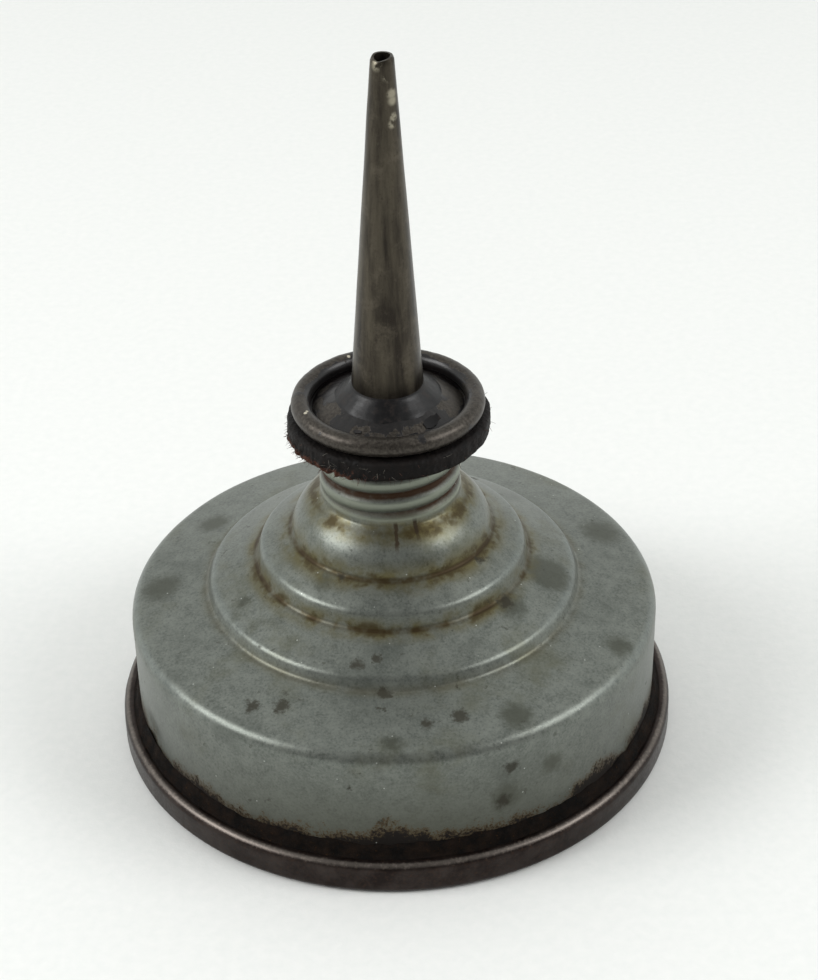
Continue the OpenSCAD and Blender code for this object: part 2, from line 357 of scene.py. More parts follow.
hook_r = WALL_R + 2 * FOLD_R
body_outside = rounded([
    (hook_r, HOOK_HIGH + SHEET / 5),
    (hook_r, HOOK_LOW - FOLD_R, FOLD_R, 0.499),
    (WALL_R, HOOK_LOW - FOLD_R, FOLD_R, 0.499),
    (WALL_R, SHOULDER_Z, 1.65),
    (STEP_1_R, STEP_1_Z, 0.7),
    (STEP_1_R - STEP_LEAN, STEP_1_Z + STEP_1_H, 1.1),
    (STEP_2_R, STEP_2_Z, 0.7),
    (STEP_2_R - STEP_LEAN, STEP_2_Z + STEP_2_H, 1.1),
    (BELL_R, BELL_Z, 0.7, 0.15),
    (BELL_SIDE_R, BELL_SIDE_Z, 5.5, 0.84),
    (NECK_R, NECK_BASE_Z, 0.7),
    (NECK_R, NECK_TOP_Z),
])


def on_top(angle, r):
    """Point on the stepped top of the can at an angle (degrees, front is 270) and radius, mm."""
    a = math.radians(angle)
    for (r1, z1), (r2, z2) in zip(body_outside, body_outside[1:]):
        if z1 >= SHOULDER_Z - 1.65 and r2 <= r <= r1:
            z = z1 + (z2 - z1) * (r1 - r) / max(r1 - r2, 1e-6)
            return (r * math.cos(a), r * math.sin(a), z)


def on_wall(angle, z):
    """Point on the wall of the can at an angle and height, mm."""
    a = math.radians(angle)
    return (WALL_R * math.cos(a), WALL_R * math.sin(a), z)


def marks(tree, place, spots):
    """Mask of soft-edged spots, each (centre, radius of its solid middle, radius of its halo)."""
    total = 0.0
    for centre, middle, halo in spots:
        gap = put(tree, "VectorMath", {0: place, 1: centre}, 1, operation="DISTANCE")
        spot = put(tree, "MapRange", {0: gap, 1: halo, 2: middle, 3: 0.0, 4: 1.0}, **SOFT)
        total = put(tree, "Math", {0: total, 1: spot}, operation="MAXIMUM")
    return total


def aged_body_steel():
    """Drawn sheet steel, its plating gone dull grey; oil stains in the creases, grime at the seam."""
    material, tree = new_material("drawn_steel_dull_grey")
    add = partial(put, tree)
    place = millimetres(tree)
    y, z = (add("SeparateXYZ", {0: place}, k) for k in (1, 2))
    r = from_axis(tree, place)

    cloud = add("TexNoise", {"Vector": place, "Scale": 0.11, "Detail": 5.0, "Roughness": 0.62})
    mottle = add("TexNoise", {"Vector": place, "Scale": 0.55, "Detail": 6.0, "Roughness": 0.7})
    grain = add("TexNoise", {"Vector": place, "Scale": 3.4, "Detail": 3.0, "Roughness": 0.7})
    ragged = add("TexNoise", {"Vector": place, "Scale": 0.9, "Detail": 6.0, "Roughness": 0.72}, 1)
    wander = add("VectorMath", {0: ragged, 1: (0.5, 0.5, 0.5)}, operation="SUBTRACT")
    wander = add("VectorMath", {0: wander, "Scale": 2.6}, operation="SCALE")
    loose = add("VectorMath", {0: place, 1: wander}, operation="ADD")

    # the eye sees a soft blue-green grey, broken by fine lighter and darker grains
    colour = tinted(tree, linear("#5f635e"), mottle, 0.36, 0.64, 1.0, "#747872")
    colour = tinted(tree, colour, grain, 0.42, 0.72, 0.5, "#888c85")
    colour = tinted(tree, colour, grain, 0.42, 0.30, 0.55, "#4c4f4b")

    # broad olive and dark clouds, as if oil had been wiped about
    colour = tinted(tree, colour, cloud, 0.50, 0.72, 0.55, "#5a5a48", **SOFT)
    colour = tinted(tree, colour, cloud, 0.46, 0.30, 0.4, "#50544f", **SOFT)

    # painted highlight: a pale line along the crests of the shoulder and steps, left off the front that
    # faces the viewer
    painted_crest_highlight = 0.0
    for crest_r, crest_z in (
        (WALL_R - 0.45, SHOULDER_Z - 0.35),
        (STEP_1_R - STEP_LEAN - 0.25, STEP_1_Z + STEP_1_H),
        (STEP_2_R - STEP_LEAN - 0.25, STEP_2_Z + STEP_2_H),
    ):
        away = from_circle(tree, r, z, crest_r, crest_z)
        line = add("MapRange", {0: away, 1: 0.8, 2: 0.1, 3: 0.0, 4: 0.12}, **SOFT)
        painted_crest_highlight = add("Math", {0: painted_crest_highlight, 1: line}, operation="MAXIMUM")
    # the painted highlight fades out towards the front, on the side that faces the viewer
    sides_not_facing_viewer = add("Math", {0: y, 1: r}, operation="DIVIDE")
    sides_not_facing_viewer = add("MapRange", {0: sides_not_facing_viewer, 1: -0.85, 2: -0.4, 3: 0.0, 4: 1.0})
    painted_crest_highlight = add("Math", {0: painted_crest_highlight, 1: sides_not_facing_viewer}, operation="MULTIPLY")
    colour = add("Mix", {0: painted_crest_highlight, 6: colour, 7: linear("#8f9a9c")}, 2, data_type="RGBA")

    # oil has run into each crease and dried olive at its edge, brown in the middle
    olive = brown = 0.0
    drift = add("TexNoise", {"Vector": place, "Scale": 0.30, "Detail": 3.5, "Roughness": 0.6})
    drift = add("MapRange", {0: drift, 1: 0.36, 2: 0.60, 3: 0.25, 4: 1.0}, **SOFT)
    for foot_r, foot_z, reach, depth in (
        (STEP_1_R, STEP_1_Z, 1.2, 0.22),
        (STEP_2_R, STEP_2_Z, 2.0, 0.9),
        (BELL_R, BELL_Z, 2.6, 0.9),
        (NECK_R + 0.7, NECK_BASE_Z - 0.3, 2.4, 0.95),
    ):
        away = from_circle(tree, r, z, foot_r + 0.2, foot_z)
        near = add("MapRange", {0: away, 1: reach, 2: 0.15, 3: 0.0, 4: depth}, **SOFT)
        halo = add("Math", {0: near, 1: drift}, operation="MULTIPLY")
        olive = add("Math", {0: olive, 1: halo}, operation="MAXIMUM")
        broken = add("MapRange", {0: mottle, 1: 0.38, 2: 0.58, 3: -0.25, 4: 0.25})
        core = add("Math", {0: halo, 1: broken}, operation="ADD")
        core = add("MapRange", {0: core, 1: 0.55, 2: 1.15, 3: 0.0, 4: 0.75}, **SOFT)
        brown = add("Math", {0: brown, 1: core}, operation="MAXIMUM")
        line = add("MapRange", {0: away, 1: 0.6, 2: 0.1, 3: 0.0, 4: depth}, **SOFT)
        wetted = add("Math", {0: drift, 1: 0.15}, operation="ADD")
        line = add("Math", {0: line, 1: wetted}, operation="MULTIPLY")
        brown = add("Math", {0: brown, 1: line}, operation="MAXIMUM")
    blotches = marks(tree, loose, [
        (on_top(297.9, 27.2), 0.8, 2.6), (on_top(180, 26.5), 1.0, 3.4), (on_top(205, 18.3), 0.3, 1.3),
        (on_top(320, 16.4), 1.0, 2.6), (on_top(347, 17.7), 1.8, 3.6), (on_top(20, 26.0), 1.0, 3.6),
        (on_wall(292.7, 9.4), 0.9, 2.7), (on_wall(303.4, 11.7), 0.5, 1.9), (on_top(233, 12.4), 0.4, 2.2),
        (on_top(333, 27.5), 0.5, 2.4), (on_top(150, 24.5), 0.8, 2.8), (on_top(269, 27.9), 0.3, 1.8),
    ])
    tone = add("Math", {0: blotches, 1: 0.8}, operation="MULTIPLY")
    colour = add("Mix", {0: tone, 6: colour, 7: linear("#484a41")}, 2, data_type="RGBA")
    colour = add("Mix", {0: olive, 6: colour, 7: linear("#5f5734")}, 2, data_type="RGBA")
    colour = add("Mix", {0: brown, 6: colour, 7: linear("#352a17")}, 2, data_type="RGBA")

    # the lower wall carries a brownish film, and painted shade darkens it most at the front, facing the
    # viewer
    film_and_front_shade = add("MapRange", {0: z, 1: 17.0, 2: 5.0, 3: 0.0, 4: 1.0}, **SOFT)
    front = add("MapRange", {0: y, 1: -16.0, 2: -30.0, 3: 0.1, 4: 0.85})
    film_and_front_shade = add("Math", {0: film_and_front_shade, 1: front}, operation="MULTIPLY")
    colour = add("Mix", {0: film_and_front_shade, 6: colour, 7: linear("#4f5047")}, 2, data_type="RGBA")

    # small dark spots with soft rims, and two runs down the front of the bell
    spots = marks(tree, loose, [
        (on_top(235, 26.3), 0.45, 1.1), (on_top(241.5, 25.2), 0.5, 1.15), (on_top(285.4, 25.2), 0.6, 1.3),
        (on_top(277.4, 25.5), 0.2, 0.9), (on_top(266.6, 23.5), 0.1, 0.55), (on_top(267, 21.4), 0.45, 1.0),
        (on_top(320.1, 16.1), 0.6, 1.3), (on_top(264.3, 18.4), 0.35, 0.8), (on_top(258.2, 19.2), 0.35, 1.1),
        (on_top(323.1, 12.0), 0.1, 0.6), (on_top(241.4, 11.5), 0.1, 0.8), (on_wall(260.5, 12.7), 0.1, 0.5),
        (on_wall(266.8, 8.3), 0.25, 0.6), (on_wall(293.7, 13.4), 0.45, 1.2), (on_wall(292, 9.0), 0.4, 1.3),
        (on_top(287.7, 21.6), 0.05, 0.5), (on_top(100, 22.0), 0.3, 1.1), (on_top(60, 19.0), 0.2, 0.9),
    ])
    speck = add("TexVoronoi", {"Vector": loose, "Scale": 0.42}, 0, feature="F1")
    speck = add("MapRange", {0: speck, 1: 0.13, 2: 0.04, 3: 0.0, 4: 0.6}, **SOFT)
    spots = add("Math", {0: spots, 1: speck}, operation="MAXIMUM")
    tone = add("Math", {0: spots, 1: 0.85}, operation="MULTIPLY")
    colour = add("Mix", {0: tone, 6: colour, 7: linear("#2d2a20")}, 2, data_type="RGBA")
    runs = 0.0
    swayed = add(
        "Mix", {1: (0.25, 0.25, 0.25), 4: place, 5: loose}, 1,
        data_type="VECTOR", factor_mode="NON_UNIFORM",
    )
    for run_angle, run_top, run_low in ((273.6, 31.1, 28.9), (289.0, 31.5, 29.7)):
        a = math.radians(run_angle)
        across = (-math.sin(a), math.cos(a), 0)
        side = add("VectorMath", {0: swayed, 1: across}, 1, operation="DOT_PRODUCT")
        side = add("Math", {0: side}, operation="ABSOLUTE")
        thin = add("MapRange", {0: side, 1: 0.30, 2: 0.12, 3: 0.0, 4: 0.9}, **SOFT)
        low = add("MapRange", {0: z, 1: run_low - 0.4, 2: run_low + 0.5, 3: 0.0, 4: 1.0})
        high = add("MapRange", {0: z, 1: run_top + 0.2, 2: run_top - 0.2, 3: 0.0, 4: 1.0})
        front = add("MapRange", {0: y, 1: -5.0, 2: -6.0, 3: 0.0, 4: 1.0})
        for part in (low, high, front):
            thin = add("Math", {0: thin, 1: part}, operation="MULTIPLY")
        runs = add("Math", {0: runs, 1: thin}, operation="MAXIMUM")
    colour = add("Mix", {0: runs, 6: colour, 7: linear("#2b1f10")}, 2, data_type="RGBA")

    # rust and old oil in the thread's groove; ridges rubbed to a pale green-grey
    on_neck = add("MapRange", {0: z, 1: NECK_BASE_Z + 0.2, 2: NECK_LOW_Z + 0.3, 3: 0.0, 4: 1.0})
    ridge = add("MapRange", {0: r, 1: NECK_R - 0.16, 2: NECK_R - 0.02, 3: 0.0, 4: 0.8})
    ridge = add("Math", {0: ridge, 1: on_neck}, operation="MULTIPLY")
    colour = add("Mix", {0: ridge, 6: colour, 7: linear("#858a7d")}, 2, data_type="RGBA")
    deep = add("MapRange", {0: r, 1: NECK_R - 0.12, 2: NECK_R - 0.42, 3: 0.0, 4: 1.3})
    patchy = add("MapRange", {0: mottle, 1: 0.3, 2: 0.6, 3: 0.5, 4: 1.0})
    for part in (on_neck, patchy):
        deep = add("Math", {0: deep, 1: part}, operation="MULTIPLY")
    deep = add("Math", {0: deep, 1: 1.0}, operation="MINIMUM")
    colour = add("Mix", {0: deep, 6: colour, 7: linear("#33200f")}, 2, data_type="RGBA")

    # black-brown grime climbs the foot of the wall in tongues, with a rusty upper edge
    low_place = add("VectorMath", {0: place, 1: (1.0, 1.0, 0.7)}, operation="MULTIPLY")
    tongue = add("TexNoise", {"Vector": low_place, "Scale": 0.22, "Detail": 7.0, "Roughness": 0.68})
    thick = marks(tree, loose, [
        (on_wall(221, 3.8), 2.0, 6.5), (on_wall(318, 3.8), 2.0, 6.0), (on_wall(268, 3.8), 2.0, 8.0),
        (on_wall(340, 3.8), 1.0, 5.0), (on_wall(120, 3.8), 2.0, 9.0),
    ])
    reach = add("MapRange", {0: tongue, 1: 0.36, 2: 0.70, 3: 0.0, 4: 3.4})
    thick = add("Math", {0: thick, 1: 1.3}, operation="MULTIPLY")
    reach = add("Math", {0: reach, 1: thick}, operation="ADD")
    level = add("Math", {0: z, 1: 4.5}, operation="SUBTRACT")
    under = add("Math", {0: reach, 1: level}, operation="SUBTRACT")
    frayed = add("MapRange", {0: grain, 1: 0.3, 2: 0.7, 3: -1.2, 4: 1.2})
    under = add("Math", {0: under, 1: frayed}, operation="ADD")
    rust = add("MapRange", {0: under, 1: -1.0, 2: 0.5, 3: 0.0, 4: 0.8}, **SOFT)
    grime = add("MapRange", {0: under, 1: 0.0, 2: 1.3, 3: 0.0, 4: 1.0}, **SOFT)
    colour = add("Mix", {0: rust, 6: colour, 7: linear("#4b3a22")}, 2, data_type="RGBA")
    colour = add("Mix", {0: grime, 6: colour, 7: linear("#130d09")}, 2, data_type="RGBA")

    # stray dust
    dust = add("TexVoronoi", {"Vector": place, "Scale": 0.5, "Randomness": 1.0}, 0, feature="F1")
    dust = add("MapRange", {0: dust, 1: 0.05, 2: 0.025, 3: 0.0, 4: 0.75})
    colour = add("Mix", {0: dust, 6: colour, 7: linear("#b9bcb6")}, 2, data_type="RGBA")

    dirty = grime
    stained = add("Math", {0: brown, 1: 0.35}, operation="MULTIPLY")
    for part in (stained, deep, spots, runs):
        dirty = add("Math", {0: dirty, 1: part}, operation="MAXIMUM")
    rough = add("MapRange", {0: mottle, 1: 0.3, 2: 0.7, 3: 0.31, 4: 0.43})
    rough = add("Mix", {0: dirty, 2: rough, 3: 0.62}, 0, data_type="FLOAT")
    metal = add("MapRange", {0: dirty, 1: 0.0, 2: 1.0, 3: 0.68, 4: 0.1})
    height = add("Math", {0: grain, 1: mottle}, operation="ADD")
    height = add("Math", {0: height, 1: dirty}, operation="ADD")
    bump = add("Bump", {"Height": height, "Strength": 0.12, "Distance": 0.015 * MM})
    surface(tree, colour, rough, metal, bump, Specular_IOR_Level=0.2)
    return material


def browned_rim_steel():
    """Browned seam edge: near black, rubbed bright along its top with a painted highlight there, oily
    semi-gloss.
    """
    material, tree = new_material("browned_steel_seam")
    add = partial(put, tree)
    place = millimetres(tree)
    z = add("SeparateXYZ", {0: place}, 2)
    r = from_axis(tree, place)
    patch = add("TexNoise", {"Vector": place, "Scale": 0.35, "Detail": 6.0, "Roughness": 0.7})
    grain = add("TexNoise", {"Vector": place, "Scale": 2.6, "Detail": 4.0, "Roughness": 0.7})
    colour = tinted(tree, linear("#211a18"), patch, 0.36, 0.66, 1.0, "#3b3431")
    tone = add("MapRange", {0: grain, 1: 0.5, 2: 0.75, 3: 0.0, 4: 0.5})
    colour = add("Mix", {0: tone, 6: colour, 7: linear("#4a3529")}, 2, data_type="RGBA")
    # rubbed crest of the fold, paler; the pale line is partly a painted highlight along the fold's top
    away = from_circle(tree, r, z, RIM_R - 0.42, RIM_H - 0.12)
    worn = add("MapRange", {0: away, 1: 0.7, 2: 0.05, 3: 0.0, 4: 1.0}, **SOFT)
    worn = add("Math", {0: worn, 1: tone}, operation="ADD")
    worn = add("MapRange", {0: worn, 1: 0.5, 2: 1.35, 3: 0.0, 4: 0.6})
    colour = add("Mix", {0: worn, 6: colour, 7: linear("#8a837c")}, 2, data_type="RGBA")
    rough = add("MapRange", {0: grain, 1: 0.3, 2: 0.7, 3: 0.26, 4: 0.46})
    height = add("Math", {0: grain, 1: patch}, operation="ADD")
    bump = add("Bump", {"Height": height, "Strength": 0.35, "Distance": 0.03 * MM})
    surface(tree, colour, rough, 0.8, bump, Specular_IOR_Level=0.3)
    return material


def oily_spring_steel():
    """Thin springy bottom: dark oil-filmed steel with rings rubbed by the thumb."""
    material, tree = new_material("spring_steel_oily")
    add = partial(put, tree)
    place = millimetres(tree)
    r = from_axis(tree, place)
    patch = add("TexNoise", {"Vector": place, "Scale": 0.12, "Detail": 6.0, "Roughness": 0.65})
    grain = add("TexNoise", {"Vector": place, "Scale": 2.0, "Detail": 4.0, "Roughness": 0.7})
    colour = tinted(tree, linear("#3a3531"), patch, 0.35, 0.65, 1.0, "#67635d")
    thumb = add("MapRange", {0: r, 1: 11.0, 2: 5.0, 3: 0.0, 4: 0.6}, **SOFT)
    colour = add("Mix", {0: thumb, 6: colour, 7: linear("#85827b")}, 2, data_type="RGBA")
    colour = tinted(tree, colour, grain, 0.55, 0.75, 0.7, "#3d2a1b")
    rough = add("MapRange", {0: grain, 1: 0.3, 2: 0.7, 3: 0.28, 4: 0.5})
    bump = add("Bump", {"Height": grain, "Strength": 0.3, "Distance": 0.02 * MM})
    surface(tree, colour, rough, 0.8, bump)
    return material


def seam_grime():
    """Solder and sealer buried under caked oil, dust and rust crumbs."""
    material, tree = new_material("caked_seam_filler")
    add = partial(put, tree)
    place = millimetres(tree)
    patch = add("TexNoise", {"Vector": place, "Scale": 0.5, "Detail": 6.0, "Roughness": 0.7})
    crumbs = add("TexNoise", {"Vector": place, "Scale": 3.0, "Detail": 5.0, "Roughness": 0.75})
    colour = tinted(tree, linear("#090706"), patch, 0.42, 0.7, 1.0, "#1f1610")
    colour = tinted(tree, colour, crumbs, 0.6, 0.75, 0.5, "#5b4128")
    rough = add("MapRange", {0: crumbs, 1: 0.3, 2: 0.7, 3: 0.7, 4: 1.0})
    bump = add("Bump", {"Height": crumbs, "Strength": 0.8, "Distance": 0.12 * MM})
    surface(tree, colour, rough, 0.0, bump, Specular_IOR_Level=0.1)
    return material


def oiled_leather():
    """Cut leather washer soaked black with oil; its torn lower edge shows raw red-brown flesh."""
    material, tree = new_material("oiled_leather")
    add = partial(put, tree)
    place = millimetres(tree)
    z = add("SeparateXYZ", {0: place}, 2)
    pores = add("TexVoronoi", {"Vector": place, "Scale": 2.3, "Randomness": 1.0}, 0, feature="F1")
    fibre = add("TexNoise", {"Vector": place, "Scale": 1.1, "Detail": 7.0, "Roughness": 0.75})
    colour = tinted(tree, linear("#080707"), fibre, 0.35, 0.68, 1.0, "#191412")
    a = math.radians(218)
    side = add("VectorMath", {0: place, 1: (math.cos(a), math.sin(a), 0)}, 1, operation="DOT_PRODUCT")
    side = add("MapRange", {0: side, 1: 7.0, 2: 11.0, 3: 0.0, 4: 1.0})
    low = add("MapRange", {0: z, 1: WASHER_Z + 1.5, 2: WASHER_Z + 0.2, 3: 0.0, 4: 1.0})
    raw = add("Math", {0: side, 1: low}, operation="MULTIPLY")
    broken = add("MapRange", {0: fibre, 1: 0.38, 2: 0.62, 3: -0.35, 4: 0.5})
    raw = add("Math", {0: raw, 1: broken}, operation="ADD")
    raw = add("MapRange", {0: raw, 1: 0.5, 2: 0.95, 3: 0.0, 4: 0.9}, **SOFT)
    colour = add("Mix", {0: raw, 6: colour, 7: linear("#482a1e")}, 2, data_type="RGBA")
    rough = add("MapRange", {0: fibre, 1: 0.3, 2: 0.7, 3: 0.5, 4: 0.75})
    height = add("Math", {0: pores, 1: fibre}, operation="ADD")
    bump = add("Bump", {"Height": height, "Strength": 0.7, "Distance": 0.10 * MM})
    surface(tree, colour, rough, 0.0, bump, Specular_IOR_Level=0.15)
    return material


def lint_fibre(name, pale, dark):
    """Fluff and torn leather hairs."""
    material, tree = new_material(name)
    place = millimetres(tree)
    tone = put(tree, "TexNoise", {"Vector": place, "Scale": 1.4, "Detail": 3.0})
    colour = put(tree, "Mix", {0: tone, 6: linear(dark), 7: linear(pale)}, 2, data_type="RGBA")
    rough = put(tree, "MapRange", {0: tone, 1: 0.3, 2: 0.7, 3: 0.7, 4: 0.9})
    surface(tree, colour, rough, 0.0)
    return material


def varnished_collar_steel():
    """Browned sheet under black varnish that has flaked from the dish and worn off the roll."""
    material, tree = new_material("browned_steel_under_varnish")
    add = partial(put, tree)
    place = millimetres(tree)
    flat = add("VectorMath", {0: place, 1: (1.0, 1.0, 0.0)}, operation="MULTIPLY")
    r = from_axis(tree, place)
    patch = add("TexNoise", {"Vector": place, "Scale": 0.45, "Detail": 7.0, "Roughness": 0.6})
    grain = add("TexNoise", {"Vector": place, "Scale": 3.0, "Detail": 5.0, "Roughness": 0.7})
    wander = add("TexNoise", {"Vector": place, "Scale": 0.9, "Detail": 6.0, "Roughness": 0.6}, 1)
    wander = add("VectorMath", {0: wander, 1: (0.5, 0.5, 0.5)}, operation="SUBTRACT")
    wander = add("VectorMath", {0: wander, "Scale": 3.0}, operation="SCALE")
    loose = add("VectorMath", {0: place, 1: wander}, operation="ADD")
    bare = add("MapRange", {0: grain, 1: 0.35, 2: 0.65, 3: 0.0, 4: 1.0})
    bare = add("Mix", {0: bare, 6: linear("#2f2b27"), 7: linear("#514c46")}, 2, data_type="RGBA")
    varnish = add("MapRange", {0: grain, 1: 0.4, 2: 0.7, 3: 0.0, 4: 1.0})
    varnish = add("Mix", {0: varnish, 6: linear("#0d0b0c"), 7: linear("#1d1817")}, 2, data_type="RGBA")
    # the dish keeps its varnish in the corner under the roll, and the dark ring there is partly painted
    # shade; the roll has lost most of it
    keeps = add("MapRange", {0: r, 1: 7.9, 2: 8.5, 3: 0.0, 4: 0.17})
    held = add("Math", {0: patch, 1: keeps}, operation="SUBTRACT")
    corner_varnish_and_shade = add("Math", {0: r, 1: COLLAR_R - 2 * CURL_R + 0.1}, operation="SUBTRACT")
    corner_varnish_and_shade = add("Math", {0: corner_varnish_and_shade}, operation="ABSOLUTE")
    corner_varnish_and_shade = add("MapRange", {0: corner_varnish_and_shade, 1: 0.7, 2: 0.1, 3: 0.0, 4: 0.3})
    held = add("Math", {0: held, 1: corner_varnish_and_shade}, operation="ADD")
    pooled = add("MapRange", {0: r, 1: 5.9, 2: 7.3, 3: 0.14, 4: 0.0})
    held = add("Math", {0: held, 1: pooled}, operation="ADD")
    lost = marks(tree, loose, [
        ((-6.4, -2.4, 42.2), 0.9, 2.6), ((-2.8, -6.0, 42.4), 0.6, 2.0), ((6.6, 1.2, 42.2), 1.6, 3.0),
        ((6.4, -2.0, 42.2), 0.8, 2.2), ((2.6, -6.9, 42.0), 0.4, 1.3),
    ])
    lost = add("Math", {0: lost, 1: 0.2}, operation="MULTIPLY")
    held = add("Math", {0: held, 1: lost}, operation="SUBTRACT")
    mask = add("MapRange", {0: held, 1: 0.455, 2: 0.475, 3: 0.0, 4: 1.0})
    colour = add("Mix", {0: mask, 6: bare, 7: varnish}, 2, data_type="RGBA")
    # three stray crumbs of pale paint on the roll
    crumbs = marks(tree, flat, [
        ((-8.75, -3.9, 0), 0.12, 0.26), ((-8.6, -3.55, 0), 0.08, 0.2), ((-4.3, 8.0, 0), 0.1, 0.25),
    ])
    colour = add("Mix", {0: crumbs, 6: colour, 7: linear("#c9c2b0")}, 2, data_type="RGBA")
    rough = add("MapRange", {0: grain, 1: 0.3, 2: 0.7, 3: 0.3, 4: 0.48})
    rough = add("Mix", {0: mask, 2: rough, 3: 0.3}, 0, data_type="FLOAT")
    metal = add("MapRange", {0: mask, 1: 0.0, 2: 1.0, 3: 0.75, 4: 0.05})
    height = add("Math", {0: grain, 1: 0.15}, operation="MULTIPLY")
    height = add("Math", {0: height, 1: mask}, operation="ADD")
    bump = add("Bump", {"Height": height, "Strength": 0.5, "Distance": 0.04 * MM})
    surface(tree, colour, rough, metal, bump, Specular_IOR_Level=0.4)
    return material


def browned_spout_steel():
    """Rolled spout, browned and handled: streaks run along it, paler where fingers rubbed."""
    material, tree = new_material("browned_steel_spout")
    add = partial(put, tree)
    place = millimetres(tree)
    z = add("SeparateXYZ", {0: place}, 2)
    long_place = add("VectorMath", {0: place, 1: (1.0, 1.0, 0.12)}, operation="MULTIPLY")
    streak = add("TexNoise", {"Vector": long_place, "Scale": 0.8, "Detail": 5.0, "Roughness": 0.6})
    patch = add("TexNoise", {"Vector": place, "Scale": 0.35, "Detail": 6.0, "Roughness": 0.7})
    grain = add("TexNoise", {"Vector": place, "Scale": 3.4, "Detail": 4.0, "Roughness": 0.7})
    colour = tinted(tree, linear("#29241e"), streak, 0.36, 0.66, 1.0, "#504a3f")
    colour = tinted(tree, colour, patch, 0.5, 0.7, 0.6, "#5c554a", **SOFT)
    colour = tinted(tree, colour, grain, 0.56, 0.72, 0.5, "#241a13")
    # pale rubs near the tip, and a darker sooty foot
    worn = add("MapRange", {0: patch, 1: 0.45, 2: 0.5, 3: 0.0, 4: 1.0})
    tip = marks(tree, place, [
        ((1.25, -1.05, 77.6), 0.25, 0.75), ((1.3, -1.1, 76.9), 0.2, 0.7), ((1.35, -1.15, 75.2), 0.2, 0.65),
        ((1.2, -1.3, 74.5), 0.2, 0.6), ((-0.3, -1.2, 80.6), 0.2, 0.9), ((0.9, -1.0, 79.4), 0.1, 0.8),
    ])
    worn = add("Math", {0: worn, 1: tip}, operation="MULTIPLY")
    worn = add("Math", {0: worn, 1: 0.85}, operation="MULTIPLY")
    colour = add("Mix", {0: worn, 6: colour, 7: linear("#979180")}, 2, data_type="RGBA")
    foot = add("MapRange", {0: z, 1: FLOOR_Z + 5.0, 2: FLOOR_Z + 0.8, 3: 0.0, 4: 0.75}, **SOFT)
    colour = add("Mix", {0: foot, 6: colour, 7: linear("#1f1917")}, 2, data_type="RGBA")
    rough = add("MapRange", {0: streak, 1: 0.3, 2: 0.7, 3: 0.26, 4: 0.42})
    height = add("Math", {0: grain, 1: streak}, operation="ADD")
    bump = add("Bump", {"Height": height, "Strength": 0.3, "Distance": 0.03 * MM})
    surface(tree, colour, rough, 0.8, bump)
    return material


def rolled_ferrule_steel():
    """Rolled thread, bright under its film of oil."""
    material, tree = new_material("rolled_steel_oily")
    add = partial(put, tree)
    place = millimetres(tree)
    patch = add("TexNoise", {"Vector": place, "Scale": 0.6, "Detail": 6.0, "Roughness": 0.7})
    colour = tinted(tree, linear("#4e473f"), patch, 0.35, 0.68, 1.0, "#827c73")
    rough = add("MapRange", {0: patch, 1: 0.3, 2: 0.7, 3: 0.28, 4: 0.45})
    bump = add("Bump", {"Height": patch, "Strength": 0.3, "Distance": 0.03 * MM})
    surface(tree, colour, rough, 0.85, bump)
    return material


def black_varnish():
    """Solder mound flooded with black varnish, glossy with a little dust."""
    material, tree = new_material("black_varnish_over_solder")
    add = partial(put, tree)
    place = millimetres(tree)
    patch = add("TexNoise", {"Vector": place, "Scale": 0.8, "Detail": 6.0, "Roughness": 0.7})
    colour = tinted(tree, linear("#09080a"), patch, 0.52, 0.66, 0.8, "#241d1a")
    rough = add("MapRange", {0: patch, 1: 0.35, 2: 0.7, 3: 0.28, 4: 0.5})
    bump = add("Bump", {"Height": patch, "Strength": 0.4, "Distance": 0.05 * MM})
    surface(tree, colour, rough, 0.0, bump, Specular_IOR_Level=0.3)
    return material


def soft_solder():
    """Bare soft solder, grey and slightly lumpy."""
    material, tree = new_material("soft_solder")
    add = partial(put, tree)
    place = millimetres(tree)
    patch = add("TexNoise", {"Vector": place, "Scale": 1.5, "Detail": 5.0, "Roughness": 0.6})
    colour = tinted(tree, linear("#6c6a66"), patch, 0.35, 0.65, 1.0, "#9b9994")
    rough = add("MapRange", {0: patch, 1: 0.3, 2: 0.7, 3: 0.35, 4: 0.5})
    bump = add("Bump", {"Height": patch, "Strength": 0.4, "Distance": 0.05 * MM})
    surface(tree, colour, rough, 0.9, bump)
    return material


def matt_card():
    """Plain white card under the can, with a faint tooth."""
    material, tree = new_material("matt_white_card")
    add = partial(put, tree)
    place = millimetres(tree)
    tooth = add("TexNoise", {"Vector": place, "Scale": 0.8, "Detail": 4.0, "Roughness": 0.6})
    colour = tinted(tree, linear("#e9ebe9"), tooth, 0.3, 0.7, 1.0, "#eeefed")
    rough = add("MapRange", {0: tooth, 1: 0.3, 2: 0.7, 3: 0.75, 4: 0.85})
    bump = add("Bump", {"Height": tooth, "Strength": 0.3, "Distance": 0.15 * MM})
    surface(tree, colour, rough, 0.0, bump)
    return material


steel_body = aged_body_steel()
steel_brown = browned_rim_steel()
steel_spring = oily_spring_steel()
filler_mat = seam_grime()
leather_mat = oiled_leather()
collar_mat = varnished_collar_steel()
spout_mat = browned_spout_steel()
ferrule_mat = rolled_ferrule_steel()
mound_mat = black_varnish()
solder_mat = soft_solder()


